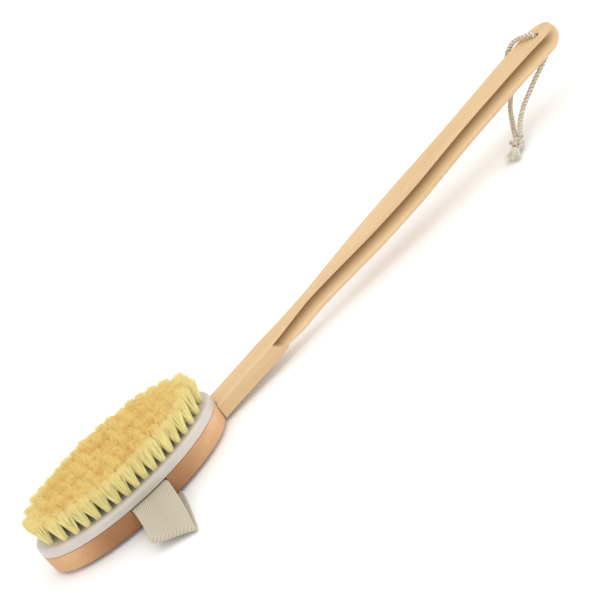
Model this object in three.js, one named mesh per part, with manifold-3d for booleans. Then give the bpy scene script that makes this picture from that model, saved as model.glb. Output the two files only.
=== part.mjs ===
// Body dry brush: an oval beech block carrying a plastic plate full of bristle tufts, a cotton hand
// strap nipped between plate and block, and a long pull-off handle with a hanging cord.
// Millimetres. The brush lies on its back: +X runs along the handle, +Z is the bristle side,
// and the origin is on the ground under the middle of the head.
import * as THREE from 'three';
import { mergeVertices } from 'three/addons/utils/BufferGeometryUtils.js';
import Module from 'manifold-3d';

const wasm = await Module();
wasm.setup();

// driving dimensions
const overallLength = 410;
const headLength = 125;
const headWidth = 65;
const gap = 0.3; // clearance that touching pieces keep

const strap = { width: 25, thickness: 1.5, centre: -2.5, reach: 70, endInset: 12, askew: 9.3, lift: 5 };
const block = { bottom: 1.9, thickness: 11.5, taper: 0.3, edge: 0.9 };
const plate = { thickness: 6, edge: 2.4 };
const tuft = { rows: 18, pitch: 6.5, root: 3, depth: 3.6, height: 15, leanX: 2.3, leanY: 1 };
const field = { length: 113.2, width: 54.8 }; // the oval that the tufts' middles stand in
const tenon = { width: 11.5, height: 5, length: 44, drop: 3.8 }; // drop: from the seam to its top
const stock = { height: 9, end: 104, runOut: 116 }; // the square-sided length next to the head
const grip = { depth: 11.5, cove: 2, tipLength: 12 };
const hole = { radius: 2.4, fromTip: 12.5 };
const nail = { headRadius: 1.3, headHeight: 0.8, shankRadius: 0.7, length: 12, bore: 1 };
const staple = { crown: 10, wire: 0.8, leg: 7, inset: 5.5, spread: 6.5 };
const cord = { radius: 1.5, knotRadius: 4.2 };

// levels and places that follow from them
const seam = block.bottom + block.thickness;
const plateTop = seam + plate.thickness;
const bristleTop = plateTop + tuft.height;
const halfLength = headLength / 2;
const halfWidth = headWidth / 2;
const tipX = overallLength - halfLength;
const holeX = tipX - hole.fromTip;
const recess = { depth: strap.thickness + 2 * gap + 0.1, width: strap.width + 1 };

const finishes = {
  beech: { color: 0xe2b987, roughness: 0.6, metalness: 0 },
  plastic: { color: 0xe4dcd6, roughness: 0.35, metalness: 0 },
  bristle: { color: 0xe6c878, roughness: 0.7, metalness: 0 },
  cotton: { color: 0xd3c9b4, roughness: 0.95, metalness: 0 },
  twine: { color: 0xcdbfa6, roughness: 0.9, metalness: 0 },
  steel: { color: 0xb9bcc0, roughness: 0.35, metalness: 1 },
};

// ---- helpers ----

function toSolid(geometry) {
  const bare = geometry.clone();
  bare.deleteAttribute('normal');
  bare.deleteAttribute('uv');
  const merged = mergeVertices(bare, 1e-4);
  return new wasm.Manifold(new wasm.Mesh({
    numProp: 3,
    vertProperties: new Float32Array(merged.attributes.position.array),
    triVerts: new Uint32Array(merged.index.array),
  }));
}

function toGeometry(solid) {
  const mesh = solid.getMesh();
  const geometry = new THREE.BufferGeometry();
  geometry.setAttribute('position', new THREE.BufferAttribute(mesh.vertProperties, 3));
  geometry.setIndex(new THREE.BufferAttribute(mesh.triVerts, 1));
  geometry.computeVertexNormals();
  return geometry;
}

const cut = (base, tools) => tools.reduce((solid, tool) => solid.subtract(toSolid(tool)), base);

function reshape(geometry, move) {
  const at = geometry.attributes.position;
  const point = new THREE.Vector3();
  for (let i = 0; i < at.count; i++) {
    point.fromBufferAttribute(at, i);
    move(point);
    at.setXYZ(i, point.x, point.y, point.z);
  }
  geometry.computeVertexNormals();
  return geometry;
}

const box = (x, y, z, cx, cy, cz) => new THREE.BoxGeometry(x, y, z).translate(cx, cy, cz);

const rod = (radius, length, sides) =>
  new THREE.CylinderGeometry(radius, radius, length, sides).rotateX(Math.PI / 2);

const smooth = (low, high, value) => THREE.MathUtils.smoothstep(value, low, high);

// A smooth curve through a list of [x, value] pairs, read at any x.
function track(pairs) {
  const curve = new THREE.SplineCurve(pairs.map(([x, value]) => new THREE.Vector2(x, value)));
  const samples = curve.getPoints(400);
  return (x) => {
    const next = samples.findIndex((p) => p.x >= x);
    if (next < 0) return samples[samples.length - 1].y;
    if (next === 0) return samples[0].y;
    const [a, b] = [samples[next - 1], samples[next]];
    return a.y + (b.y - a.y) * (x - a.x) / (b.x - a.x);
  };
}

const ovalReach = (x, a, b) => b * Math.sqrt(1 - (x / a) ** 2);

// A turned profile of [inward offset from the rim, height] pairs, drawn out to the head's oval.
function ovalSolid(a, b, profile, sides) {
  const points = profile.map(([offset, z]) => new THREE.Vector2(Math.max(b - offset, 0), z));
  const turned = new THREE.LatheGeometry(points, sides).rotateX(Math.PI / 2);
  const rim = 6; // nearer the middle than this, the offset no longer matters
  return reshape(turned, (p) => {
    const offset = Math.min(b - Math.hypot(p.x, p.y), rim);
    p.x *= (a - offset) / (b - offset);
  });
}

// ---- head block ----

const strapSides = [-1, 1];
const stapleX = [-staple.spread, staple.spread].map((x) => strap.centre + x);
const stapleY = halfWidth - staple.inset;

function stapleLegHoles() {
  const size = staple.wire + 2 * gap;
  return strapSides.flatMap((side) => stapleX.flatMap((x) => strapSides.map((end) => box(
    size, size, 2 * staple.leg + 4, x + end * (staple.crown - staple.wire) / 2, side * stapleY, seam))));
}

const nailSpots = [[-39, -13], [-39, 13], [0, -17], [0, 17], [39, -13], [39, 13]];

function makeBlock() {
  const { bottom, taper, edge } = block;
  const body = toSolid(ovalSolid(halfLength, halfWidth, [
    [halfWidth, bottom], [taper + edge, bottom], [taper + 0.3 * edge, bottom + 0.3 * edge],
    [taper, bottom + edge], [0, seam], [halfWidth, seam],
  ], 64));
  const overrun = 10; // how far each cutting tool passes outside the wood
  const socket = box(
    tenon.length + 2 * overrun, tenon.width + 2 * gap, tenon.height + 2 * gap,
    halfLength - tenon.length / 2 + overrun - gap, 0, seam - tenon.drop - tenon.height / 2);
  const recesses = strapSides.map((side) => box(
    recess.width, 2 * overrun, 2 * recess.depth,
    strap.centre, side * (halfWidth - strap.endInset - 1 + overrun), seam));
  const bores = nailSpots.map(([x, y]) =>
    rod(nail.bore, 2 * overrun, 8).translate(x, y, plateTop - nail.length - 1 + overrun));
  return toGeometry(cut(body, [socket, ...recesses, ...stapleLegHoles(), ...bores]));
}

// ---- bristle plate ----

const rows = Array.from({ length: tuft.rows }, (_, i) => {
  const x = (i - (tuft.rows - 1) / 2) * tuft.pitch;
  const reach = ovalReach(x, field.length / 2, field.width / 2);
  const count = Math.round(2 * reach / tuft.pitch) + 1;
  return { x, spots: Array.from({ length: count }, (_, k) => reach * (2 * k / (count - 1) - 1)) };
});

// Every row leans outwards a little, in its socket as well as above it.
const tuftFoot = plateTop - tuft.depth + gap;
const tuftRise = (z) => (z - tuftFoot) / (bristleTop - tuftFoot);
const tuftThickness = (z) => tuft.root + (tuft.pitch - 2 * gap - tuft.root) * tuftRise(z);

function splay(p, rowX) {
  p.x += tuft.leanX * tuftRise(p.z) * rowX / halfLength;
  p.y *= 1 + tuft.leanY * tuftRise(p.z) / (field.width / 2);
}

function makePlate() {
  const { edge } = plate;
  const body = toSolid(ovalSolid(halfLength, halfWidth, [
    [halfWidth, seam + gap], [0, seam + gap], [0, plateTop - edge],
    [0.3 * edge, plateTop - 0.3 * edge], [edge, plateTop], [halfWidth, plateTop],
  ], 64));
  const thickness = tuftThickness(plateTop) + 2 * gap;
  const sockets = rows.flatMap(({ x, spots }) => spots.map((y) => reshape(
    box(thickness, tuft.root + 2 * gap, 2 * tuft.depth, x, y, plateTop), (p) => splay(p, x))));
  const bores = nailSpots.flatMap(([x, y]) => [
    rod(nail.bore, 3 * plate.thickness, 8).translate(x, y, plateTop),
    rod(nail.headRadius + gap, 2 * (nail.headHeight + gap), 8).translate(x, y, plateTop)]);
  const slot = staple.wire + 2 * gap;
  const pockets = strapSides.flatMap((side) => stapleX.map((x) =>
    box(staple.crown + 2 * gap, slot, 2 * slot, x, side * stapleY, seam)));
  return toGeometry(cut(body, [...sockets, ...bores, ...pockets]));
}

// ---- bristles: one row of tufts, each tuft narrow in its socket and splayed above it ----

function makeTuftRow({ x, spots }) {
  const half = tuft.root / 2;
  const collar = plateTop + gap;
  const notch = plateTop + 0.35 * tuft.height; // neighbouring tufts part below this level
  const shape = new THREE.Shape();
  spots.forEach((y, i) => {
    if (i === 0) shape.moveTo(y - half, tuftFoot);
    else {
      shape.lineTo((y + spots[i - 1]) / 2, notch);
      shape.lineTo(y - half, collar);
      shape.lineTo(y - half, tuftFoot);
    }
    shape.lineTo(y + half, tuftFoot);
    shape.lineTo(y + half, collar);
  });
  const edge = spots[spots.length - 1];
  shape.lineTo(edge + tuft.pitch / 2, bristleTop - 1);
  shape.lineTo(edge, bristleTop);
  shape.lineTo(-edge, bristleTop);
  shape.lineTo(-edge - tuft.pitch / 2, bristleTop - 1);
  shape.lineTo(-edge - half, collar);
  const slab = new THREE.ExtrudeGeometry(shape, { depth: 1, bevelEnabled: false, steps: 1 });
  return reshape(slab, (p) => {
    const [along, across, up] = [p.x, p.z - 0.5, p.y]; // drawn in X and Y, thick in Z
    p.set(x + across * tuftThickness(up), along, up);
    splay(p, x);
  });
}

// ---- nails and staples ----

function makeNail([x, y]) {
  const top = plateTop - 0.1;
  const neck = top - nail.headHeight;
  const point = top - nail.length;
  const profile = [
    [0, point], [nail.shankRadius, point + 2], [nail.shankRadius, neck], [nail.headRadius, neck],
    [nail.headRadius, top], [0, top],
  ].map(([r, z]) => new THREE.Vector2(r, z));
  return new THREE.LatheGeometry(profile, 8).rotateX(Math.PI / 2).translate(x, y, 0);
}

function makeStaple(x, side) {
  const { crown, wire, leg } = staple;
  const outer = crown / 2;
  const inner = outer - wire;
  const shape = new THREE.Shape([
    [-outer, 0], [-inner, 0], [-inner, leg], [inner, leg], [inner, 0], [outer, 0],
    [outer, leg + wire], [-outer, leg + wire],
  ].map(([u, v]) => new THREE.Vector2(u, v)));
  const solid = new THREE.ExtrudeGeometry(shape, { depth: wire, bevelEnabled: false });
  const base = seam + gap - 0.05 - leg;
  return solid.rotateX(Math.PI / 2).translate(x, side * stapleY + wire / 2, base);
}

// ---- hand strap: a flat webbing whose slack lies out on one side as a loop ----

const looseFrom = halfWidth + 1; // the slack starts just outside the block

function strapPath() {
  const { thickness, reach, endInset } = strap;
  const inner = halfWidth - endInset;
  const low = thickness / 2; // the layer on the ground
  const high = seam - 2 * gap - low; // the layer in the seam
  const wall = halfWidth + gap + low;
  const foldRadius = 1.67;
  const turn = { low: 2.05, high: 1.2 }; // bends round the block's two edges
  const slack = [[-36.5, 11.4], [-41.5, 9.6], [-48.5, 7], [-56, 5]];
  const path = new THREE.Path();
  path.moveTo(-inner, high);
  path.lineTo(-halfWidth, high);
  path.splineThru(slack.map(([y, z]) => new THREE.Vector2(y, z)));
  path.lineTo(-reach + foldRadius, low + 2 * foldRadius);
  path.absarc(-reach + foldRadius, low + foldRadius, foldRadius, Math.PI / 2, 3 * Math.PI / 2);
  path.lineTo(wall - turn.low, low);
  path.absarc(wall - turn.low, low + turn.low, turn.low, -Math.PI / 2, 0);
  path.lineTo(wall, high - turn.high);
  path.absarc(wall - turn.high, high - turn.high, turn.high, 0, Math.PI / 2);
  path.lineTo(inner, high);
  return path;
}

// Every place along the path where the band has a cross-section, closer together in its bends.
function strapStations() {
  const { curves } = strapPath();
  const divisions = [3, 14, 4, 8, 22, 6, 2, 6, 3];
  const places = curves.flatMap((curve, i) =>
    Array.from({ length: divisions[i] }, (_, k) => [curve, k / divisions[i]]));
  places.push([curves[curves.length - 1], 1]);
  return places.map(([curve, u]) => ({ at: curve.getPointAt(u), ahead: curve.getTangentAt(u) }));
}

function makeStrap() {
  const stations = strapStations();
  const steps = stations.length - 1;
  const half = strap.width / 2;
  const band = new THREE.BoxGeometry(strap.width, strap.thickness, 1, 1, 1, steps);
  reshape(band, (p) => {
    const { at, ahead } = stations[Math.round((p.z + 0.5) * steps)];
    const out = Math.max(0, -at.x - looseFrom);
    const loose = out / (strap.reach - looseFrom);
    const further = 0.2 * p.x / half; // one edge of the slack lies further out than the other
    p.set(
      p.x + strap.centre - strap.askew * (loose * (1 + further)) ** 1.6,
      at.x - out * further + ahead.y * p.y,
      at.y + strap.lift * smooth(0, 1, loose) * (half - p.x) / strap.width - ahead.x * p.y);
  });
  return toGeometry(cut(toSolid(band), stapleLegHoles()));
}

// ---- handle: square stock at the head, then a grip with hollowed sides and a round tip ----

const handleTop = track([
  [56, -3], [64, -2.2], [90, 0.1], [112, 2], [138, 5], [162, 7.2], [194, 9.9], [226, 12.9],
  [258, 16.5], [290, 20], [320, 23], [350, 24.8],
].map(([x, rise]) => [x, seam + rise]));

const handleHalf = track([
  [56, 7.8], [84, 7.8], [104, 7.8], [122, 6.2], [138, 5.2], [150, 5.9], [166, 7.5], [186, 9.5],
  [204, 10.3], [222, 10.6], [246, 9.7], [270, 9.2], [296, 9.6], [320, 10], [350, 10],
]);

const gripStart = tipX - grip.tipLength;
const coveFade = 16; // the hollow sides die away over this length before the tip

// Half a section from the edge of the flat face, over the side, to near the middle of the back.
function halfSection(x) {
  const half = handleHalf(x);
  const square = 1 - smooth(stock.end, stock.runOut, x);
  const cove = grip.cove * (1 - smooth(gripStart - coveFade, tipX, x));
  const under = Math.max(-5, 1.5 - half); // where the back has turned flat
  const middle = 0.5 - half;
  const hollow = [
    [0, 0], [-0.9 * cove, 1.8], [-cove, 3.8], [-0.5 * cove, 5.8], [0.3, 7.6],
    [-0.6, 9.5], [-2.6, 10.9], [under, grip.depth], [middle, grip.depth],
  ];
  const plain = [
    [0, 0], [0, 1.8], [0, 3.8], [0, 5.8], [0, 7.6], [0, stock.height], [-2.6, stock.height],
    [under, stock.height], [middle, stock.height],
  ];
  return hollow.map(([dy, depth], i) => [
    half + THREE.MathUtils.lerp(dy, plain[i][0], square),
    THREE.MathUtils.lerp(depth, plain[i][1], square),
  ]);
}

function makeHandle() {
  const stations = [
    56, 74, 92, 104, 107, 110, 113, 118, 126, 136, 146, 156, 170, 184, 198, 214, 232, 252, 274, 294, 308,
    320, 330, gripStart,
    ...[20, 38, 54, 68, 79, 86].map((turn) => gripStart + grip.tipLength * Math.sin(turn * Math.PI / 180)),
  ];
  const ring = 18; // nine section points on each side
  const last = stations.length - 1;
  const bar = new THREE.CylinderGeometry(1, 1, last, ring, last).rotateZ(-Math.PI / 2);
  reshape(bar, (p) => {
    const x = stations[Math.round(p.x + last / 2)];
    const section = halfSection(x);
    const onRing = Math.hypot(p.y, p.z) > 0.5;
    const k = Math.round(Math.atan2(-p.y, p.z) / (2 * Math.PI) * ring + ring) % ring;
    const mirrored = k > 8;
    const [half, depth] = onRing ? section[mirrored ? ring - 1 - k : k] : [0, 6];
    const beyond = Math.max(0, x - gripStart);
    const squeeze = Math.sqrt(Math.max(0, 1 - (beyond / grip.tipLength) ** 2));
    // the tip bulges at mid depth and is rounded off towards its back
    const tuck = 0.88 + 0.12 * smooth(0, 4, depth) - 0.3 * smooth(6, grip.depth, depth);
    p.x = x - beyond * (1 - tuck);
    p.y = (mirrored ? half : -half) * squeeze;
    p.z = handleTop(x) - depth;
  });
  const below = -5;
  const shoulder = ovalSolid(halfLength + gap, halfWidth + gap, [
    [halfWidth + gap, below], [block.taper, below], [block.taper, block.bottom + block.edge],
    [0, seam + 1], [halfWidth + gap, seam + 1],
  ], 64);
  const bite = 3; // how far the tongue is let into the stock
  const tongue = box(
    tenon.length + bite, tenon.width, tenon.height,
    halfLength - tenon.length / 2 + bite / 2, 0, seam - tenon.drop - tenon.height / 2);
  const drill = rod(hole.radius, 60, 12).translate(holeX, 0, handleTop(holeX));
  return toGeometry(cut(toSolid(bar), [shoulder]).add(toSolid(tongue)).subtract(toSolid(drill)));
}

// ---- hanging cord: up through the hole, over the flat face and back down to the knot ----

const knotAt = new THREE.Vector3(284, -16, 4.4);
const tasselEnd = new THREE.Vector3(274, -22, 2.7);
const cordRoute = [
  [288.7, -15, 5.4], [291, -12, 6.8], [296.5, -8.5, 10], [303, -6.5, 13.5], [310, -4, 15.5],
  [319, -2, 18.5], [325.5, -1, 20.6], [330.5, -0.3, 22.3], [334, 0, 24.2], [335, 0, 28], [335, 0, 33],
  [335, 0, 36.5], [334.5, 0.5, 38.5], [332.8, 2.3, 39.5], [330.5, 5.4, 39.5], [328.3, 8.7, 39.3],
  [325.4, 12, 38], [321.8, 13.8, 35.6], [318, 13.9, 32], [314.4, 13.3, 26.8], [310.8, 12, 21.5],
  [306.5, 10, 16],
  [301.5, 7.5, 12.5], [297, 2.5, 10], [292.5, -3.5, 8], [289, -8.5, 6.5], [286.9, -12.2, 5.6],
].map((point) => new THREE.Vector3(...point));

function makeCord() {
  const round = new THREE.Shape();
  round.absarc(0, 0, cord.radius, 0, 2 * Math.PI);
  return new THREE.ExtrudeGeometry(new THREE.Shape(round.getPoints(4).slice(0, 8)), {
    steps: 56, bevelEnabled: false, extrudePath: new THREE.CatmullRomCurve3(cordRoute),
  });
}

function makeKnot() {
  return new THREE.SphereGeometry(cord.knotRadius, 10, 8).translate(...knotAt.toArray());
}

function makeTassel() {
  const along = tasselEnd.clone().sub(knotAt).normalize();
  const start = knotAt.clone().addScaledVector(along, cord.knotRadius + gap);
  const length = start.distanceTo(tasselEnd);
  const cone = new THREE.CylinderGeometry(2.6, cord.radius + 0.2, length, 8);
  const turn = new THREE.Quaternion().setFromUnitVectors(new THREE.Vector3(0, 1, 0), along);
  return cone.applyQuaternion(turn).translate(...start.add(tasselEnd).multiplyScalar(0.5).toArray());
}

const pieces = new THREE.Group();
function add(name, geometry, finish) {
  const mesh = new THREE.Mesh(geometry, new THREE.MeshStandardMaterial(finishes[finish]));
  mesh.name = name;
  pieces.add(mesh);
}

add('head_block', makeBlock(), 'beech');
add('bristle_plate', makePlate(), 'plastic');
rows.forEach((row, i) => add(`bristle_row_${String(i + 1).padStart(2, '0')}`, makeTuftRow(row), 'bristle'));
nailSpots.forEach((spot, i) => add(`plate_nail_${i + 1}`, makeNail(spot), 'steel'));
add('hand_strap', makeStrap(), 'cotton');
for (const side of strapSides) {
  stapleX.forEach((x, i) => {
    add(`strap_staple_${side < 0 ? 'near' : 'far'}_${i + 1}`, makeStaple(x, side), 'steel');
  });
}
add('handle', makeHandle(), 'beech');
add('hanging_cord', makeCord(), 'twine');
add('cord_knot', makeKnot(), 'twine');
add('cord_tassel', makeTassel(), 'twine');

export default pieces;
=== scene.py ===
import math

import bmesh
import bpy
import numpy as np
from mathutils import Matrix, Vector


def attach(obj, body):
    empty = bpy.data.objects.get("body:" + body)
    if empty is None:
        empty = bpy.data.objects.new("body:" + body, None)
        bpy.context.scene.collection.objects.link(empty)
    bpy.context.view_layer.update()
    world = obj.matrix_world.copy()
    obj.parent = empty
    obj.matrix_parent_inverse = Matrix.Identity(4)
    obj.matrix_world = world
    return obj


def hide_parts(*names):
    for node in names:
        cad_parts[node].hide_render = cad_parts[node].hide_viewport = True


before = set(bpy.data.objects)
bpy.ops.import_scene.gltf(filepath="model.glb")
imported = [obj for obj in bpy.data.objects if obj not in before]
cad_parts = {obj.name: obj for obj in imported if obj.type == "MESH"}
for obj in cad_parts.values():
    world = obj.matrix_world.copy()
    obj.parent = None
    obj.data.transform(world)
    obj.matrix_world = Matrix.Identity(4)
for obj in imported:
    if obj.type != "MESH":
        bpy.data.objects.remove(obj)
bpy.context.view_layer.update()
mm = 0.001

# ---- camera ----

camera = {
    "place": (-0.2300, -1.5213, 0.7429),
    "right": (0.70735, -0.43493, -0.55722),
    "up": (0.67433, 0.17877, 0.71646),
    "back": (-0.21199, -0.88254, 0.41974),
    "lens": 189,
}


def makeCamera():
    lens = bpy.data.cameras.new("camera")
    lens.lens = camera["lens"]
    lens.sensor_width = 36
    lens.clip_end = 20
    eye = bpy.data.objects.new("camera", lens)
    bpy.context.scene.collection.objects.link(eye)
    turn = Matrix((camera["right"], camera["up"], camera["back"])).transposed()
    eye.matrix_world = Matrix.Translation(camera["place"]) @ turn.to_4x4()
    bpy.context.scene.camera = eye


makeCamera()

# ---- sizes shared by the pieces, in metres ----

head = {
    "halfLength": 62.5 * mm, "halfWidth": 32.5 * mm,
    "bottom": 1.9 * mm, "seam": 13.4 * mm, "plateTop": 19.4 * mm, "bristleTop": 34.4 * mm,
}
tipX = 347.5 * mm
holeX = 335 * mm


# ---- shared ways of making shapes ----

def deselectAll():
    if bpy.context.object and bpy.context.object.mode != "OBJECT":
        bpy.ops.object.mode_set(mode="OBJECT")
    bpy.ops.object.select_all(action="DESELECT")


def pick(piece):
    deselectAll()
    piece.select_set(True)
    bpy.context.view_layer.objects.active = piece


def settle(piece):  # puts its place into its mesh, so the object sits at the origin
    pick(piece)
    bpy.ops.object.transform_apply(location=True, rotation=True, scale=True)


def selectPoints(piece, wanted):  # in edit mode, by place
    bpy.ops.mesh.select_mode(type="VERT")
    cage = bmesh.from_edit_mesh(piece.data)
    for v in cage.verts:
        v.select = wanted(v.co)
    cage.select_flush_mode()
    bmesh.update_edit_mesh(piece.data)


def selectEdges(piece, wanted):  # in edit mode, by the edge's middle and direction
    bpy.ops.mesh.select_mode(type="EDGE")
    cage = bmesh.from_edit_mesh(piece.data)
    for e in cage.edges:
        a, b = (v.co for v in e.verts)
        e.select = wanted((a + b) / 2, b - a)
    bmesh.update_edit_mesh(piece.data)


def carve(piece, tool, action="DIFFERENCE"):
    pick(piece)
    step = piece.modifiers.new("carve", "BOOLEAN")
    step.operation = action
    step.solver = "EXACT"
    step.object = tool
    bpy.ops.object.modifier_apply(modifier=step.name)
    bpy.data.objects.remove(tool)


def smoothByAngle(piece, degrees):
    pick(piece)
    bpy.ops.object.shade_smooth_by_angle(angle=math.radians(degrees))


def addBar(x, y, z, cx, cy, cz):
    deselectAll()
    bpy.ops.mesh.primitive_cube_add(size=1, location=(cx, cy, cz), scale=(x, y, z))
    bar = bpy.context.object
    settle(bar)
    return bar


def addPost(radius, depth, place, sides):
    deselectAll()
    bpy.ops.mesh.primitive_cylinder_add(vertices=sides, radius=radius, depth=depth, location=place)
    post = bpy.context.object
    settle(post)
    return post


def addOval(name, low, high, spread=0):  # an upright cylinder drawn out to the head's oval
    deselectAll()
    bpy.ops.mesh.primitive_cylinder_add(
        vertices=144, radius=1, depth=high - low, end_fill_type="NGON",
        location=(0, 0, (low + high) / 2),
        scale=(head["halfLength"] + spread, head["halfWidth"] + spread, 1))
    oval = bpy.context.object
    oval.name = oval.data.name = name
    settle(oval)
    return oval


def skin(name, rings, closed=False):
    # a tube through rings of points, each ring an array of one length
    rings = [np.asarray(ring) for ring in rings]
    count, around = len(rings), len(rings[0])
    faces = []
    for i in range(count if closed else count - 1):
        j = (i + 1) % count
        for k in range(around):
            n = (k + 1) % around
            faces.append((i * around + k, i * around + n, j * around + n, j * around + k))
    if not closed:
        faces.append(tuple(range(around - 1, -1, -1)))
        faces.append(tuple(range((count - 1) * around, count * around)))
    mesh = bpy.data.meshes.new(name)
    mesh.from_pydata(np.concatenate(rings).tolist(), [], faces)
    mesh.shade_smooth()
    piece = bpy.data.objects.new(name, mesh)
    bpy.context.scene.collection.objects.link(piece)
    return piece


def faceOutwards(piece):
    pick(piece)
    bpy.ops.object.mode_set(mode="EDIT")
    bpy.ops.mesh.select_all(action="SELECT")
    bpy.ops.mesh.remove_doubles(threshold=1e-6)
    bpy.ops.mesh.normals_make_consistent(inside=False)
    bpy.ops.object.mode_set(mode="OBJECT")


def evenly(points, step):  # a smooth line through the points, read at even steps
    knots = [Vector(p) for p in points]
    knots = [2 * knots[0] - knots[1]] + knots + [2 * knots[-1] - knots[-2]]
    fine = []
    for a, b, c, d in zip(knots, knots[1:], knots[2:], knots[3:]):
        gaps = [max((q - p).length, 1e-9) ** 0.5 for p, q in ((a, b), (b, c), (c, d))]
        inward = ((b - a) / gaps[0] - (c - a) / (gaps[0] + gaps[1]) + (c - b) / gaps[1]) * gaps[1]
        outward = ((c - b) / gaps[1] - (d - b) / (gaps[1] + gaps[2]) + (d - c) / gaps[2]) * gaps[1]
        for i in range(40):
            t = i / 40
            fine.append(
                (2 * t ** 3 - 3 * t * t + 1) * b + (t ** 3 - 2 * t * t + t) * inward
                + (3 * t * t - 2 * t ** 3) * c + (t ** 3 - t * t) * outward)
    fine.append(knots[-2])
    fine = np.array(fine)
    run = np.concatenate([[0], np.cumsum(np.linalg.norm(np.diff(fine, axis=0), axis=1))])
    places = np.linspace(0, run[-1], max(3, round(run[-1] / step) + 1))
    return np.stack([np.interp(places, run, fine[:, k]) for k in range(3)], axis=1), run[-1]


def frames(line, closed=False):  # two sideways directions at each point, carried along without spin
    ahead = np.gradient(line, axis=0)
    if closed:
        ahead = np.roll(line, -1, axis=0) - np.roll(line, 1, axis=0)
    ahead /= np.linalg.norm(ahead, axis=1)[:, None]
    side = np.cross(ahead[0], (0.2, 0.3, 0.93))
    sides = []
    for way in ahead:
        side = side - way * side.dot(way)
        side /= np.linalg.norm(side)
        sides.append(side)
    sides = np.array(sides)
    return sides, np.cross(ahead, sides)


def strand(name, line, radius, plies, lay, closed=False):
    # a laid rope: a lobed section, one lobe to a ply, that turns once in every lay
    side, other = frames(line, closed)
    run = np.concatenate([[0], np.cumsum(np.linalg.norm(np.diff(line, axis=0), axis=1))])
    around = np.linspace(0, 2 * np.pi, 8 * plies, endpoint=False)
    turns = run / lay
    if closed:  # the lay and the carried directions both have to meet at the join
        slip = math.atan2(side[0].dot(other[-1]), side[0].dot(side[-1])) / (2 * math.pi)
        turns = run / run[-1] * (round(run[-1] / lay * plies) / plies - slip)
    bulge = np.abs(np.cos(around * plies / 2)) ** 0.8
    reach = radius * (0.72 + 0.28 * bulge)
    rings = [
        p + np.outer(np.cos(around + 2 * np.pi * t) * reach, s)
        + np.outer(np.sin(around + 2 * np.pi * t) * reach, o)
        for p, t, s, o in zip(line, turns, side, other)]
    piece = skin(name, rings, closed)
    # u goes once round with the plies, v runs along in millimetres
    spots = np.arange(len(rings) * len(around))
    addUv(piece.data, "lay", np.stack([
        spots % len(around) / len(around), run[spots // len(around)] * 1000], axis=1))
    return piece


def addUv(mesh, name, values):  # values holds one [u, v] to a point
    points = np.zeros(len(mesh.loops), np.int32)
    mesh.loops.foreach_get("vertex_index", points)
    uv = mesh.uv_layers.new(name=name)
    uv.data.foreach_set("uv", values[points].astype(np.float32).ravel())


# ---- finishes ----

class Value:  # a node's output, ready for sums
    def __init__(self, finish, socket):
        self.finish, self.socket = finish, socket

    def join(self, operation, first, second):
        return self.finish.node("ShaderNodeMath", {"operation": operation}, {0: first, 1: second})

    def __add__(self, other): return self.join("ADD", self, other)
    def __sub__(self, other): return self.join("SUBTRACT", self, other)
    def __mul__(self, other): return self.join("MULTIPLY", self, other)
    def __truediv__(self, other): return self.join("DIVIDE", self, other)
    def __pow__(self, other): return self.join("POWER", self, other)
    def __rsub__(self, other): return self.join("SUBTRACT", other, self)


class Finish:  # one material
    def __init__(self, name, **fixed):
        self.material = bpy.data.materials.new(name)
        self.material.use_nodes = True
        self.tree = self.material.node_tree
        self.shader = self.tree.nodes["Principled BSDF"]
        for key, value in fixed.items():
            self.shader.inputs[key.replace("_", " ")].default_value = value

    def plug(self, socket, value):
        if isinstance(value, Value):
            self.tree.links.new(value.socket, socket)
        elif isinstance(value, (tuple, list)) and socket.type == "RGBA" and len(value) == 3:
            socket.default_value = (*value, 1)
        else:
            socket.default_value = value

    def node(self, kind, settings, sockets, out=0):
        made = self.tree.nodes.new(kind)
        for key, value in settings.items():
            if key == "stops":
                ramp = made.color_ramp
                while len(ramp.elements) < len(value):
                    ramp.elements.new(0.5)
                for element, (place, colour) in zip(ramp.elements, value):
                    element.position = place
                    element.color = (*colour, 1)
            else:
                setattr(made, key, value)
        for key, value in sockets.items():
            self.plug(made.inputs[key], value)
        return Value(self, made.outputs[out])

    def give(self, **sockets):
        for key, value in sockets.items():
            self.plug(self.shader.inputs[key.replace("_", " ")], value)

    def place(self, scale=(1, 1, 1), turn=(0, 0, 0), shift=(0, 0, 0)):
        where = self.node("ShaderNodeTexCoord", {}, {}, "Object")
        return self.node("ShaderNodeMapping", {}, {
            "Vector": where, "Scale": scale, "Rotation": turn, "Location": shift})

    def noise(self, vector, scale, detail=3, rough=0.55, twist=0):
        return self.node("ShaderNodeTexNoise", {}, {
            "Vector": vector, "Scale": scale, "Detail": detail, "Roughness": rough,
            "Distortion": twist})

    def ramp(self, value, *stops):
        return self.node("ShaderNodeValToRGB", {"stops": stops}, {"Fac": value})

    def blend(self, share, first, second, way="MIX"):
        return self.node("ShaderNodeMix", {"data_type": "RGBA", "blend_type": way}, {
            0: share, 6: first, 7: second}, 2)

    def step(self, value, low, high):  # rises from 0 at low to 1 at high
        return self.node("ShaderNodeMapRange", {"interpolation_type": "SMOOTHSTEP"}, {
            "Value": value, "From Min": low, "From Max": high, "To Min": 0, "To Max": 1})

    def axes(self, vector):
        parts = self.node("ShaderNodeSeparateXYZ", {}, {"Vector": vector})
        outputs = parts.socket.node.outputs
        return [Value(self, outputs[i]) for i in range(3)]

    def bump(self, height, distance, strength=1.0):
        self.give(Normal=self.node("ShaderNodeBump", {}, {
            "Height": height, "Distance": distance, "Strength": strength}))


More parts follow.
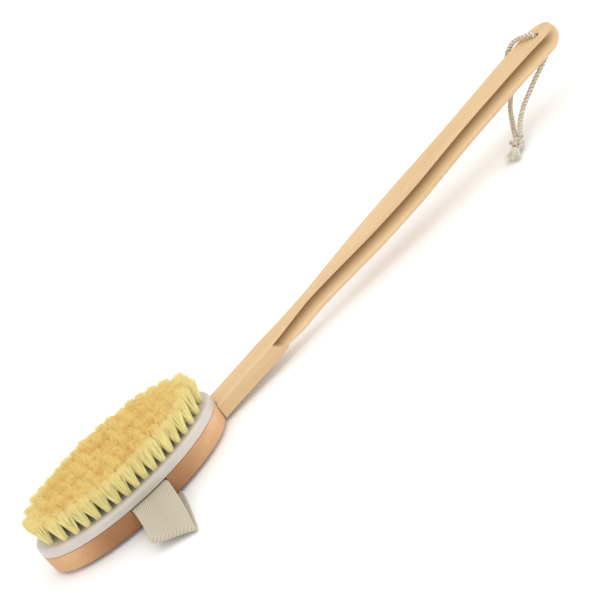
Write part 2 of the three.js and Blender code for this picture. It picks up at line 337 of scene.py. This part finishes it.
def beechFinish(name, settings):
    wood = Finish(name, Specular_IOR_Level=0.35)
    wander = wood.noise(wood.place((4, 14, 14)), 3, 2)
    ringPlace = wood.place((1.1, 30, 30), settings["turn"])
    bands = wood.noise(ringPlace, settings["bandScale"], 3, 0.5, 0.25)
    streaks = wood.noise(wood.place((14, 900, 900), settings["turn"]), 1, 4, 0.65)
    pores = wood.noise(wood.place((75, 1500, 1500), settings["turn"]), 1, 2, 0.5)
    flecks = wood.step(pores, 0.64, 0.74)
    tone = bands * 0.5 + streaks * 0.3 + wander * 0.2
    colour = wood.ramp(tone, *settings["stops"])
    colour = wood.blend(flecks * settings["fleck"], colour, settings["fleckColour"])
    x = wood.axes(wood.place())[0]
    for low, high, share, shadeColour in settings["paintedShadeStretches"]:  # a stretch of the piece darkened with painted shade
        inside = wood.step(x, low[0], low[1]) * (1 - wood.step(x, high[0], high[1]))
        colour = wood.blend(inside * share, colour, shadeColour, "MULTIPLY")
    # painted shade: the hollow flank and the stock's sides are darkened in colour, from the mesh's
    # own attribute
    if settings["paintedShadeTint"]:
        hollow = wood.node("ShaderNodeAttribute", {"attribute_name": "hollow"}, {}, "Fac")
        colour = wood.blend(hollow, colour, settings["paintedShadeTint"], "MULTIPLY")
    wood.give(Base_Color=colour, Roughness=streaks * 0.16 + settings["roughness"])
    wood.bump(streaks * 0.5 + bands * 0.3 - flecks * 0.5, 0.00012, 0.6)
    return wood.material


blockWood = {
    "turn": (0.5, 0.02, 0.03), "bandScale": 3.2, "roughness": 0.44, "fleck": 0.35,
    "stops": [(0.30, (0.56, 0.305, 0.145)), (0.5, (0.65, 0.38, 0.19)), (0.72, (0.74, 0.47, 0.26))],
    "fleckColour": (0.36, 0.18, 0.08),
    # painted shade on the block's middle stretch, between its lighter ends
    "paintedShadeStretches": [((-0.058, -0.03), (0.01, 0.055), 0.9, (0.42, 0.30, 0.21))], "paintedShadeTint": None,
}
handleWood = {
    "turn": (0.35, 0.075, 0.0), "bandScale": 3.6, "roughness": 0.42, "fleck": 0.3,
    "stops": [(0.30, (0.60, 0.395, 0.195)), (0.5, (0.68, 0.47, 0.25)), (0.72, (0.75, 0.54, 0.31))],
    "fleckColour": (0.40, 0.23, 0.10), "paintedShadeStretches": [], "paintedShadeTint": (0.36, 0.28, 0.17),
}


def plasticFinish():
    plastic = Finish("whitePlastic", Specular_IOR_Level=0.5, Subsurface_Weight=0.08,
                     Subsurface_Scale=0.002, Coat_Weight=0.15, Coat_Roughness=0.12)
    cloud = plastic.noise(plastic.place(), 45, 2)
    fine = plastic.noise(plastic.place(), 900, 2)
    colour = plastic.ramp(cloud, (0.35, (0.56, 0.49, 0.45)), (0.65, (0.62, 0.55, 0.51)))
    x = plastic.axes(plastic.place())[0]
    # painted shade: the plate's middle stretch is darkened and greyed in colour
    middle = plastic.step(x, -0.055, -0.02) * (1 - plastic.step(x, 0.01, 0.05))
    colour = plastic.blend(middle * 0.8, colour, (0.78, 0.83, 0.76), "MULTIPLY")
    plastic.give(Base_Color=colour, Roughness=fine * 0.12 + 0.25)
    plastic.bump(cloud * 0.8 + fine * 0.2, 0.00006, 0.5)
    return plastic.material


def bristleFinish():
    hair = Finish("boarBristle", Specular_IOR_Level=0.45, Roughness=0.5)
    shade = hair.node("ShaderNodeAttribute", {"attribute_name": "shade"}, {}, "Fac")
    x, y, z = hair.axes(hair.place())
    rise = hair.step(z, head["plateTop"], head["bristleTop"])
    patches = hair.noise(hair.place((1, 1, 0.2)), 120, 3, 0.6)
    # the colour darkens towards the roots: painted shade low down between the tufts
    stem = hair.ramp(rise, (0.0, (0.36, 0.22, 0.03)), (0.16, (0.88, 0.68, 0.16)),
                     (0.7, (1.0, 0.84, 0.28)), (1.0, (0.94, 0.66, 0.17)))
    pale = hair.blend(shade * (1 - rise * 0.35) * 0.85, stem, (1.0, 0.93, 0.50))
    rosy = hair.step(patches, 0.42, 0.68) * hair.step(z, 0.029, 0.034)
    colour = hair.blend(rosy * 0.5, pale, (0.80, 0.45, 0.11))
    outer = (x / head["halfLength"]) ** 2 + (y / head["halfWidth"]) ** 2
    colour = hair.blend(hair.step(outer, 0.5, 0.85) * 0.5, colour, (1.0, 0.93, 0.47))
    hair.give(Base_Color=colour)
    return hair.material


def clothFinish():
    cloth = Finish("cottonWebbing", Specular_IOR_Level=0.2, Sheen_Weight=0.25, Sheen_Roughness=0.5)
    weave = cloth.node("ShaderNodeUVMap", {"uv_map": "weave"}, {})
    height = cloth.node("ShaderNodeAttribute", {"attribute_name": "raise"}, {}, "Fac")
    fibre = cloth.node("ShaderNodeTexNoise", {}, {
        "Vector": weave, "Scale": 3.2, "Detail": 4, "Roughness": 0.65})
    blotch = cloth.noise(weave, 0.12, 2)
    # the colour darkens where the yarns lie low: painted shade between the raised yarns
    colour = cloth.ramp(height * 0.62 + fibre * 0.38, (0.18, (0.17, 0.135, 0.09)),
                        (0.45, (0.38, 0.33, 0.24)), (0.75, (0.60, 0.54, 0.42)))
    colour = cloth.blend(blotch * 0.25, colour, (0.52, 0.46, 0.34))
    cloth.give(Base_Color=colour, Roughness=fibre * 0.15 + 0.8)
    cloth.bump(fibre, 0.0002, 0.7)
    return cloth.material


def twineFinish():
    twine = Finish("cottonTwine", Specular_IOR_Level=0.2, Sheen_Weight=0.3, Sheen_Roughness=0.5)
    lay = twine.node("ShaderNodeUVMap", {"uv_map": "lay"}, {})
    u = twine.axes(lay)[0]
    groove = twine.node("ShaderNodeMath", {"operation": "PINGPONG"}, {0: u, 1: 1 / 6}) * 6
    fibrePlace = twine.node("ShaderNodeMapping", {}, {"Vector": lay, "Scale": (60, 1.2, 1)})
    fibre = twine.noise(fibrePlace, 1, 3, 0.6)
    fleckPlace = twine.node("ShaderNodeMapping", {}, {"Vector": lay, "Scale": (6, 0.5, 1)})
    fleck = twine.step(twine.noise(fleckPlace, 1.4, 3, 0.6), 0.5, 0.64)
    # the colour darkens in the grooves between the plies: painted shade
    colour = twine.ramp(fibre * 0.5 + (1 - groove) * 0.5, (0.15, (0.34, 0.26, 0.17)),
                        (0.5, (0.66, 0.58, 0.46)), (0.8, (0.84, 0.79, 0.69)))
    colour = twine.blend(fleck * 0.7, colour, (0.30, 0.19, 0.10))
    twine.give(Base_Color=colour, Roughness=fibre * 0.1 + 0.82)
    twine.bump(fibre, 0.00025, 0.8)
    return twine.material


def fluffFinish():
    fluff = Finish("frayedCotton", Specular_IOR_Level=0.2, Sheen_Weight=0.3)
    speck = fluff.noise(fluff.place(), 900, 2)
    fluff.give(Base_Color=fluff.ramp(speck, (0.35, (0.90, 0.84, 0.66)), (0.6, (0.99, 0.96, 0.84))),
               Roughness=speck * 0.1 + 0.8)
    return fluff.material


def wireFinish():
    wire = Finish("steelWire", Metallic=1.0)
    scuff = wire.noise(wire.place(), 1500, 3)
    wire.give(Base_Color=wire.ramp(scuff, (0.3, (0.50, 0.50, 0.51)), (0.7, (0.66, 0.66, 0.67))),
              Roughness=scuff * 0.25 + 0.25)
    return wire.material


blockBeech = beechFinish("blockBeech", blockWood)
handleBeech = beechFinish("handleBeech", handleWood)
whitePlastic = plasticFinish()
boarBristle = bristleFinish()
cottonWebbing = clothFinish()
cottonTwine = twineFinish()
frayedCotton = fluffFinish()
steelWire = wireFinish()
print("finishes made")


def finishPiece(piece, material, body, slot, *nodes):
    piece.data.materials.clear()
    piece.data.materials.append(material)
    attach(piece, body)
    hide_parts(*nodes)


# ---- hanging cord, its knot and its frayed end ----

cord = {
    "radius": 1.5 * mm, "lay": 7.2 * mm, "plies": 3, "step": 0.42 * mm,
    "route": [
        # from the knot up to the hole
        (288.7, -15, 5.4), (291, -12, 6.8), (296.5, -8.5, 10), (303, -6.5, 13.5), (310, -4, 15.5),
        (319, -2, 18.5), (325.5, -1, 20.6), (330.5, -0.3, 22.3), (334, 0, 24.2),
        # up through the hole, over the far edge and back underneath
        (334.8, 0.2, 28), (334.6, 0.4, 33), (334.5, 0.5, 36.5), (334.1, 0.9, 38.5),
        (332.8, 2.3, 39.5), (330.5, 5.4, 39.5), (328.3, 8.7, 39.3), (325.4, 12, 38),
        (321.8, 13.8, 35.6), (318, 13.9, 32),
        (314.4, 13.3, 26.8), (310.8, 12, 21.5), (306.5, 10, 16), (301.5, 7.5, 12.5),
        (297, 2.5, 10), (292.5, -3.5, 8), (289, -8.5, 6.5), (286.9, -12.2, 5.6),
    ],
    "knotPlace": (284, -16, 4.4), "knotSize": (2.25, 1.15), "knotCord": 1.25,
    "tasselEnd": (274, -22, 1.6), "fibres": 340, "fibreWidth": 0.17,
    "fibreStart": 2.2, "fanStart": 1.1, "fanOut": 3.8, "curl": 1.3,
}


def makeCord():
    line, length = evenly([Vector(p) * mm for p in cord["route"]], cord["step"])
    rope = strand("hanging_cord_rope", line, cord["radius"], cord["plies"], cord["lay"])
    finishPiece(rope, cottonTwine, "handle", "cotton_twine", "hanging_cord")
    return rope, line, length


def makeKnot():  # a trefoil pulled tight
    big, small = (s * mm for s in cord["knotSize"])
    turn = np.linspace(0, 2 * np.pi, 150, endpoint=False)
    wide = big + small * np.cos(3 * turn)
    shape = np.stack([
        wide * np.cos(2 * turn), wide * np.sin(2 * turn), 1.25 * small * np.sin(3 * turn)], axis=1)
    lean = np.array(Matrix.Rotation(0.5, 3, "X") @ Matrix.Rotation(0.4, 3, "Y"))
    line = shape @ lean.T + np.array(cord["knotPlace"]) * mm
    knot = strand(
        "cord_knot_overhand", line, cord["knotCord"] * mm, cord["plies"], cord["lay"], True)
    finishPiece(knot, cottonTwine, "handle", "cotton_twine", "cord_knot")
    return knot


def makeTassel():
    draw = np.random.RandomState(7)
    start, end = (np.array(cord[key]) * mm for key in ("knotPlace", "tasselEnd"))
    ahead = (end - start) / np.linalg.norm(end - start)
    side = np.cross(ahead, (0, 0, 1.0))
    up = np.cross(side, ahead)
    corners = np.linspace(0, 2 * np.pi, 3, endpoint=False)
    first = cord["fibreStart"] * mm
    points, faces = [], []
    for n in range(cord["fibres"]):
        spin, out = draw.uniform(0, 2 * np.pi), draw.uniform(0, 1) ** 0.5
        reach = np.linalg.norm(end - start) * draw.uniform(0.72, 1.12)
        curl = draw.uniform(-1, 1, 2) * cord["curl"] * mm
        base = len(points)
        for i in range(6):
            t = i / 5
            fan = (cord["fanStart"] + cord["fanOut"] * t ** 1.2) * mm * out
            p = (start + ahead * (first + (reach - first) * t)
                 + side * (math.cos(spin) * fan * 1.15 + curl[0] * t * t)
                 + up * (math.sin(spin) * fan * 0.8 + curl[1] * math.sin(3 * t)))
            p[2] = max(p[2], 0.15 * mm + 0.25 * mm * out)
            width = cord["fibreWidth"] * mm * (1 - 0.55 * t) * (0.5 if i == 5 else 1)
            for c in corners:
                points.append(p + (side * math.cos(c) + up * math.sin(c)) * width)
        for i in range(5):
            for k in range(3):
                m = (k + 1) % 3
                near, far = base + 3 * i, base + 3 * i + 3
                faces.append((near + k, near + m, far + m, far + k))
        faces += [(base + 2, base + 1, base), (base + 15, base + 16, base + 17)]
    mesh = bpy.data.meshes.new("cord_frayed_end")
    mesh.from_pydata([tuple(p) for p in points], [], faces)
    mesh.shade_smooth()
    tassel = bpy.data.objects.new("cord_frayed_end", mesh)
    bpy.context.scene.collection.objects.link(tassel)
    faceOutwards(tassel)
    finishPiece(tassel, frayedCotton, "handle", "cotton_twine", "cord_tassel")
    return tassel


rope, ropeLine, ropeLength = makeCord()
knot = makeKnot()
tassel = makeTassel()
print("cord made, length", round(ropeLength, 4))

# ---- head block ----

block = {
    "taper": 0.3 * mm, "edge": 0.9 * mm, "seamEdge": 0.3 * mm,
    "recessWidth": 26 * mm, "recessDepth": 2.2 * mm, "recessEnd": 19.5 * mm,
    "strapCentre": -2.5 * mm,
}
tongue = {
    "width": 11.5 * mm, "height": 5 * mm, "length": 44 * mm, "middle": 7.1 * mm, "gap": 0.3 * mm,
}


def makeBlock():
    oval = addOval("head_block_wood", head["bottom"], head["seam"])
    bpy.ops.object.mode_set(mode="EDIT")
    selectPoints(oval, lambda p: p.z < head["bottom"] + mm)
    inward = 1 - block["taper"] / head["halfWidth"]
    bpy.ops.transform.resize(value=(inward, inward, 1))
    selectEdges(oval, lambda middle, way: middle.z < head["bottom"] + mm)
    bpy.ops.mesh.bevel(offset=block["edge"], segments=4, profile=0.5)
    selectEdges(oval, lambda middle, way: middle.z > head["seam"] - mm / 2)
    bpy.ops.mesh.bevel(offset=block["seamEdge"], segments=2, profile=0.5)
    bpy.ops.object.mode_set(mode="OBJECT")
    past = 30 * mm  # each cutter ends well outside the block
    for side in (-1, 1):
        carve(oval, addBar(
            block["recessWidth"], past, 2 * block["recessDepth"],
            block["strapCentre"], side * (block["recessEnd"] + past / 2), head["seam"]))
    play = 2 * tongue["gap"]
    carve(oval, addBar(
        tongue["length"] + 10 * mm, tongue["width"] + play, tongue["height"] + play,
        head["halfLength"] - tongue["length"] / 2 + 5 * mm - tongue["gap"], 0, tongue["middle"]))
    smoothByAngle(oval, 32)
    finishPiece(oval, blockBeech, "head", "beech", "head_block")


makeBlock()
print("head block made")

# ---- rows of tufts, as places on the plate ----

tufts = {
    "rows": 18, "pitch": 6.5 * mm, "rootRadius": 1.75 * mm, "tipRadius": 3.85 * mm,
    "fieldX": 56.6 * mm, "fieldY": 27.4 * mm, "leanX": 1.3 * mm, "leanY": 0.7 * mm,
    "perTuft": 250, "hairWidth": 0.19 * mm, "sunk": 2.6 * mm, "leanFrom": 16.1 * mm,
    # the tips: how far below the top, how much lower at a tuft's rim, and how uneven
    "below": 0.2 * mm, "rimDrop": 0.9 * mm, "uneven": 0.5 * mm,
    "tuftLean": 0.3 * mm, "tuftRise": 0.3 * mm, "stray": 0.3, "strayAtRim": 0.35,
}


def tuftSpots(row):
    x = (row - (tufts["rows"] - 1) / 2) * tufts["pitch"]
    reach = tufts["fieldY"] * math.sqrt(1 - (x / tufts["fieldX"]) ** 2)
    count = round(2 * reach / tufts["pitch"]) + 1
    return [(x, reach * (2 * k / (count - 1) - 1)) for k in range(count)]


# ---- bristle plate ----

plate = {
    "edge": 2.3 * mm, "seamEdge": 0.25 * mm, "gap": 0.3 * mm,
    "socketRadius": 1.95 * mm, "socketDepth": 1.3 * mm,
}


def makePlate():
    oval = addOval("bristle_plate_moulded", head["seam"] + plate["gap"], head["plateTop"])
    bpy.ops.object.mode_set(mode="EDIT")
    selectEdges(oval, lambda middle, way: middle.z > head["plateTop"] - mm)
    bpy.ops.mesh.bevel(offset=plate["edge"], segments=8, profile=0.55)
    selectEdges(oval, lambda middle, way: middle.z < head["seam"] + mm / 2)
    bpy.ops.mesh.bevel(offset=plate["seamEdge"], segments=2, profile=0.5)
    bpy.ops.object.mode_set(mode="OBJECT")
    drills = []
    for row in range(tufts["rows"]):
        for x, y in tuftSpots(row):
            drills.append(addPost(
                plate["socketRadius"], 2 * plate["socketDepth"], (x, y, head["plateTop"]), 14))
    deselectAll()
    for drill in drills:
        drill.select_set(True)
    bpy.context.view_layer.objects.active = drills[0]
    bpy.ops.object.join()
    carve(oval, bpy.context.object)
    smoothByAngle(oval, 32)
    finishPiece(oval, whitePlastic, "head", "white_plastic", "bristle_plate")


makePlate()
print("bristle plate made")


# ---- bristles ----

def makeHair():  # one bristle, a unit long, that every tuft is filled with
    deselectAll()
    bpy.ops.mesh.primitive_cone_add(
        vertices=3, radius1=1, radius2=0.85, depth=1, location=(0, 0, 0.5))
    hair = bpy.context.object
    settle(hair)
    bpy.ops.object.mode_set(mode="EDIT")
    for level in (0.25, 0.5, 0.75):
        bpy.ops.mesh.select_all(action="SELECT")
        bpy.ops.mesh.bisect(plane_co=(0, 0, level), plane_no=(0, 0, 1))
    bpy.ops.object.mode_set(mode="OBJECT")
    points = np.array([v.co for v in hair.data.vertices])
    faces = [tuple(f.vertices) for f in hair.data.polygons]
    bpy.data.objects.remove(hair)
    return points, faces


def makeTufts():
    draw = np.random.RandomState(21)
    shape, shapeFaces = makeHair()
    flat = np.concatenate(shapeFaces)
    sizes = [len(f) for f in shapeFaces]
    starts = np.concatenate([[0], np.cumsum(sizes)[:-1]])
    golden = math.pi * (3 - math.sqrt(5))
    foot, leanFrom = head["plateTop"] - tufts["sunk"], tufts["leanFrom"]
    for row in range(tufts["rows"]):
        points, shades = [], []
        for x, y in tuftSpots(row):
            twist = draw.uniform(0, 2 * np.pi)
            tuftShade = draw.uniform(-0.08, 0.08)
            tuftLean = draw.normal(0, tufts["tuftLean"], 2)
            tuftRise = draw.normal(0, tufts["tuftRise"])
            for n in range(tufts["perTuft"]):
                out = math.sqrt((n + 0.5) / tufts["perTuft"])
                angle = n * golden + twist
                outwards = np.array([math.cos(angle), math.sin(angle)])
                root = outwards * out * tufts["rootRadius"]
                fan = out ** 1.15 * tufts["tipRadius"] * draw.uniform(0.82, 1.1)
                stray = draw.normal(0, (tufts["stray"] + tufts["strayAtRim"] * out) * mm, 2)
                tip = outwards * fan + stray + tuftLean
                top = (head["bristleTop"] - tufts["below"] - tufts["rimDrop"] * out ** 3 + tuftRise
                       + draw.normal(0, tufts["uneven"]))
                z = foot + (top - foot) * shape[:, 2]
                rise = np.clip((z - leanFrom) / (head["bristleTop"] - leanFrom), 0, 1)
                spread = np.clip((z - head["plateTop"]) / (top - head["plateTop"]), 0, 1) ** 1.1
                px = x + root[0] + (tip[0] - root[0]) * spread
                px = px + tufts["leanX"] * rise * x / head["halfLength"]
                py = y + root[1] + (tip[1] - root[1]) * spread
                py = py + tufts["leanY"] * rise * y / tufts["fieldY"]
                turn = draw.uniform(0, 2 * np.pi)
                c, s = math.cos(turn), math.sin(turn)
                wide = tufts["hairWidth"]
                points.append(np.stack([
                    px + (c * shape[:, 0] - s * shape[:, 1]) * wide,
                    py + (s * shape[:, 0] + c * shape[:, 1]) * wide, z], axis=1))
                shades.append(np.full(len(shape), np.clip(draw.beta(2, 2.4) + tuftShade, 0, 1)))
        count = len(points)
        name = f"bristle_tufts_{row + 1:02d}"
        mesh = bpy.data.meshes.new(name)
        mesh.vertices.add(count * len(shape))
        mesh.vertices.foreach_set("co", np.concatenate(points).astype(np.float32).ravel())
        offsets = np.arange(count)[:, None]
        mesh.loops.add(count * len(flat))
        mesh.loops.foreach_set(
            "vertex_index", (flat[None, :] + offsets * len(shape)).astype(np.int32).ravel())
        mesh.polygons.add(count * len(sizes))
        mesh.polygons.foreach_set(
            "loop_start", (starts[None, :] + offsets * len(flat)).astype(np.int32).ravel())
        mesh.update(calc_edges=True)
        mesh.shade_smooth()
        mesh.attributes.new("shade", "FLOAT", "POINT").data.foreach_set(
            "value", np.concatenate(shades).astype(np.float32))
        piece = bpy.data.objects.new(name, mesh)
        bpy.context.scene.collection.objects.link(piece)
        finishPiece(piece, boarBristle, "head", "boar_bristle", f"bristle_row_{row + 1:02d}")


makeTufts()
print("bristles made")

# ---- hand strap ----

strap = {
    "width": 25, "thickness": 1.3, "centre": -2.5, "reach": 70,
    "askew": 9.3, "lift": 5, "slip": 2.4,
    "looseFrom": 33.5, "underFrom": 52, "underLength": 100,
    "pitch": 0.7, "samples": 2, "relief": 0.15,
}


def strapLine():  # the path of the strap's middle as [y, z] in millimetres
    def straight(a, b, n):
        return [np.array(a) + (np.array(b) - a) * i / n for i in range(n)]

    def bend(y, z, radius, start, finish, n):
        turns = np.radians(np.linspace(start, finish, n, endpoint=False))
        return [np.array([y + radius * math.cos(t), z + radius * math.sin(t)]) for t in turns]

    slack, _ = evenly([(0, y, z) for y, z in (
        (-32.5, 12.05), (-36.5, 11.4), (-41.5, 9.6), (-48.5, 7), (-56, 5))], 0.25)
    return np.array(
        straight((-20.5, 12.05), (-32.5, 12.05), 12) + [p[1:] for p in slack[:-1]]
        + straight((-56, 5), (-68.33, 4.09), 12) + bend(-68.33, 2.42, 1.67, 90, 270, 24)
        + straight((-68.33, 0.75), (31.5, 0.75), 80) + bend(31.5, 2.8, 2.05, -90, 0, 10)
        + straight((33.55, 2.8), (33.55, 10.85), 8) + bend(32.35, 10.85, 1.2, 0, 90, 8)
        + straight((32.35, 12.05), (20.5, 12.05), 12) + [np.array([20.5, 12.05])])


def twillHeight(u, v):  # u and v count yarns; the raised yarn steps over by one in each row
    warp, weft = np.floor(u), np.floor(v)
    over = np.mod(warp + weft, 3) < 1.5
    crown = np.where(over, np.sin(np.pi * np.mod(u, 1)), np.sin(np.pi * np.mod(v, 1)))
    return np.where(over, 0.45, 0.0) + 0.55 * np.abs(crown) ** 0.7


def makeStrap():
    line = strapLine()
    run = np.concatenate([[0], np.cumsum(np.linalg.norm(np.diff(line, axis=0), axis=1))])
    step = strap["pitch"] / strap["samples"]
    along = np.linspace(0, run[-1], round(run[-1] / step) + 1)
    line = np.stack([np.interp(along, run, line[:, k]) for k in range(2)], axis=1)
    ahead = np.gradient(line, axis=0)
    ahead /= np.linalg.norm(ahead, axis=1)[:, None]
    half = strap["width"] / 2
    yarns = round(strap["width"] / strap["pitch"])
    across = np.linspace(-half, half, yarns * strap["samples"] + 1)
    sides = [(px, 1) for px in across] + [(px, -1) for px in across[::-1]]
    px = np.array([s[0] for s in sides])
    face = np.array([s[1] for s in sides])
    flank = np.clip((half - np.abs(px)) / 0.6, 0, 1) ** 0.5
    rings, heights, uvs = [], [], []
    for (y, z), way, v in zip(line, ahead, along):
        height = twillHeight(
            px / strap["pitch"] + 60 + (face < 0) * 1.5, np.full(len(px), v / strap["pitch"]))
        thick = strap["thickness"] / 2 - strap["relief"] * (1 - height)
        thick = face * thick * (0.35 + 0.65 * flank)
        out = max(0.0, -y - strap["looseFrom"])
        loose = out / (strap["reach"] - strap["looseFrom"])
        further = 0.2 * px / half
        ripple = 0.25 * loose * np.sin(px * 0.35 + v * 0.11)
        # the layer underneath lies a little further along the head
        under = np.clip((v - strap["underFrom"]) / strap["underLength"], 0, 1)
        slip = strap["slip"] * math.sin(math.pi * under)
        rings.append(np.stack([
            px + strap["centre"] + slip - strap["askew"] * (loose * (1 + further)) ** 1.15,
            y - out * further + way[1] * thick,
            z + strap["lift"] * (3 * loose ** 2 - 2 * loose ** 3) * (half - px) / strap["width"]
            - way[0] * thick + ripple], axis=1) * mm)
        heights.append(height)
        uvs.append(np.stack([px, np.full(len(px), v)], axis=1))
    band = skin("hand_strap_webbing", rings)
    mesh = band.data
    mesh.attributes.new("raise", "FLOAT", "POINT").data.foreach_set(
        "value", np.concatenate(heights).astype(np.float32))
    addUv(mesh, "weave", np.concatenate(uvs))
    for v in mesh.vertices:  # nothing goes below the ground
        v.co.z = max(v.co.z, 0)
    pick(band)
    bpy.ops.object.mode_set(mode="EDIT")
    bpy.ops.mesh.select_all(action="SELECT")
    bpy.ops.mesh.normals_make_consistent(inside=False)
    bpy.ops.object.mode_set(mode="OBJECT")
    finishPiece(band, cottonWebbing, "head", "cotton_webbing", "hand_strap")
    return run[-1]


strapLength = makeStrap()
print("strap made, length", round(strapLength, 1))

# ---- handle ----

handle = {
    # [x, rise of the flat face over the seam] and [x, half width]
    "top": [(56, -3), (64, -2.2), (90, 0.1), (112, 2), (138, 5), (162, 7.2), (194, 9.9),
            (226, 12.9), (258, 16.5), (290, 20), (320, 23), (350, 24.8)],
    "half": [(56, 7.8), (84, 7.8), (104, 7.8), (122, 6.2), (138, 5.2), (150, 5.9), (166, 7.5),
             (186, 9.5), (204, 10.3), (222, 10.6), (246, 9.7), (270, 9.2), (296, 9.6), (320, 10),
             (350, 10)],
    "cove": 2.2, "tipLength": 12, "coveFade": 16,
    "notchTop": 105, "notchFoot": 112.5, "notchDrop": 7, "holeRadius": 2.4,
    "stockDepth": 9, "gripDepth": 11.5, "lipDepth": 7, "deepensOver": 17, "stockShade": 0.24,
}


def track(pairs):
    fine, _ = evenly([(x, 0, value) for x, value in pairs], 0.5)
    return lambda x: float(np.interp(x, fine[:, 0], fine[:, 2]))


def smoothStep(low, high, value):
    t = min(1.0, max(0.0, (value - low) / (high - low)))
    return t * t * (3 - 2 * t)


def pastNotch(x, depth):  # 0 on the plain stock, 1 beyond the slanting notch
    share = min(1, depth / handle["notchDrop"])
    line = handle["notchTop"] + (handle["notchFoot"] - handle["notchTop"]) * share
    return smoothStep(line - 0.3, line + 1.1, x)


def flank(outline):  # 26 points along a smooth line through [outwards, depth] pairs
    line, _ = evenly([(0, a, b) for a, b in outline], 0.42)
    return line[np.linspace(0, len(line) - 1, 26).round().astype(int), 1:]


def makeHandle():
    topLine, halfLine = track(handle["top"]), track(handle["half"])
    shallow, deep, lip = handle["stockDepth"], handle["gripDepth"], handle["lipDepth"]
    tip, seam = tipX / mm, head["seam"] / mm
    gripStart = tip - handle["tipLength"]
    stations = [*np.arange(56, 104, 4), *np.arange(104, 118, 0.5), *np.arange(118, 160, 2)]
    stations += [*np.arange(160, gripStart, 3.5)] + [
        gripStart + handle["tipLength"] * math.sin(math.radians(a)) for a in range(0, 91, 6)]

    def halfSection(x):  # from the edge of the flat face, over the side, to the middle of the back
        half = halfLine(x)
        cove = handle["cove"] * (1 - smoothStep(gripStart - handle["coveFade"], tip, x))
        curve = flank([
            (0, 0.25), (-0.95 * cove, 1.8), (-1.05 * cove, 3.6), (-0.6 * cove, 5.6), (0.15, 7.6),
            (-0.4, 9.4), (-2.3, 11.0), (-4.6, deep)])
        square = flank([
            (0, 0.3), (0, 1.8), (0, 3.6), (0, 5.6), (0, 7.4), (0, 8.6), (-0.5, shallow),
            (-4.6, shallow)])
        # the back deepens slowly past the notch
        deepening = smoothStep(
            handle["notchFoot"] - 1, handle["notchFoot"] + handle["deepensOver"], x)
        press = 1 - (1 - deepening) * (deep - shallow) / (deep - lip)
        points = [(half - 0.3, 0.0)]
        for (a, b), (c, d) in zip(curve, square):
            b = b if b < lip else lip + (b - lip) * press
            mix = pastNotch(x, b)
            points.append((half + c + (a - c) * mix, d + (b - d) * mix))
        bottom = points[-1]
        points += [(bottom[0] * s, bottom[1]) for s in (0.6, 0.25)]
        return [(points[0][0] * s, 0.0) for s in (0.25, 0.6, 0.9)] + points

    rings = []
    for x in stations:
        beyond = max(0.0, x - gripStart)
        squeeze = math.sqrt(max(0.0, 1 - (beyond / handle["tipLength"]) ** 2))
        right = []
        for half, depth in halfSection(x):
            tuck = 0.88 + 0.12 * smoothStep(0, 4, depth) - 0.3 * smoothStep(6, deep, depth)
            right.append((x - beyond * (1 - tuck), half * squeeze, seam + topLine(x) - depth))
        rings.append(np.array(right + [(a, -b, c) for a, b, c in right[::-1]]) * mm)
    bar = skin("handle_wood", rings)
    faceOutwards(bar)
    gap = 0.3 * mm
    carve(bar, addOval("shoulder", -5 * mm, head["seam"] + mm, gap))
    bite = 3 * mm
    plug = addBar(
        tongue["length"] + bite, tongue["width"], tongue["height"],
        head["halfLength"] - tongue["length"] / 2 + bite / 2, 0, tongue["middle"])
    carve(bar, plug, "UNION")
    carve(bar, addPost(handle["holeRadius"] * mm, 60 * mm, (holeX, 0, 30 * mm), 40))
    paintedShades = []
    for v in bar.data.vertices:  # painted shade darkening the hollow flank under the flat face, and a lighter painted shade on the stock's sides
        x, depth = v.co.x / mm, seam + topLine(v.co.x / mm) - v.co.z / mm
        inside = pastNotch(x, depth)
        hollow = (
            inside * (1 - smoothStep(gripStart - 2, tip, x)) * (1 - smoothStep(2.2, 7.5, depth)))
        paintedShades.append(
            smoothStep(0.05, 0.3, depth) * (hollow + handle["stockShade"] * (1 - inside)))
    bar.data.attributes.new("hollow", "FLOAT", "POINT").data.foreach_set("value", paintedShades)
    smoothByAngle(bar, 35)
    finishPiece(bar, handleBeech, "handle", "beech", "handle")


makeHandle()
print("handle made")

# ---- nails and staples keep their own shape ----

for name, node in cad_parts.items():
    if name.startswith(("plate_nail", "strap_staple")):
        node.data.materials.clear()
        node.data.materials.append(steelWire)

# ---- floor, light ----

light = {
    "sky": 0.85,
    "key": {"place": (0.2, 0.2, 1.7), "aim": (0.12, 0, 0), "size": 2.6, "power": 13},
    "fill": {"place": (-0.3, -1.6, 0.55), "aim": (0.05, 0, 0), "size": 1.2, "power": 8},
    "side": {"place": (1.4, -0.5, 0.8), "aim": (0.12, 0, 0), "size": 1.0, "power": 4},
}


def makeStage():
    deselectAll()
    bpy.ops.mesh.primitive_plane_add(size=12, location=(0, 0, -0.0002))
    floor = bpy.context.object
    floor.name = "floor"
    settle(floor)
    paper = Finish("paper", Roughness=0.55, Specular_IOR_Level=0.3)
    paper.give(Base_Color=paper.ramp(paper.noise(paper.place(), 3, 2), (0.3, (0.95, 0.95, 0.95)),
                                     (0.7, (0.97, 0.97, 0.97))))
    floor.data.materials.append(paper.material)
    world = bpy.data.worlds.new("sky")
    world.use_nodes = True
    sky = world.node_tree.nodes["Background"].inputs
    sky["Color"].default_value = (1, 1, 1, 1)
    sky["Strength"].default_value = light["sky"]
    bpy.context.scene.world = world
    bpy.context.scene.view_settings.view_transform = "Standard"
    for name in ("key", "fill", "side"):
        lamp = bpy.data.lights.new(name, "AREA")
        lamp.energy, lamp.size = light[name]["power"], light[name]["size"]
        thing = bpy.data.objects.new(name, lamp)
        bpy.context.scene.collection.objects.link(thing)
        place = Vector(light[name]["place"])
        away = place - Vector(light[name]["aim"])
        thing.location = place
        thing.rotation_euler = away.to_track_quat("Z", "Y").to_euler()


makeStage()
print("stage made")
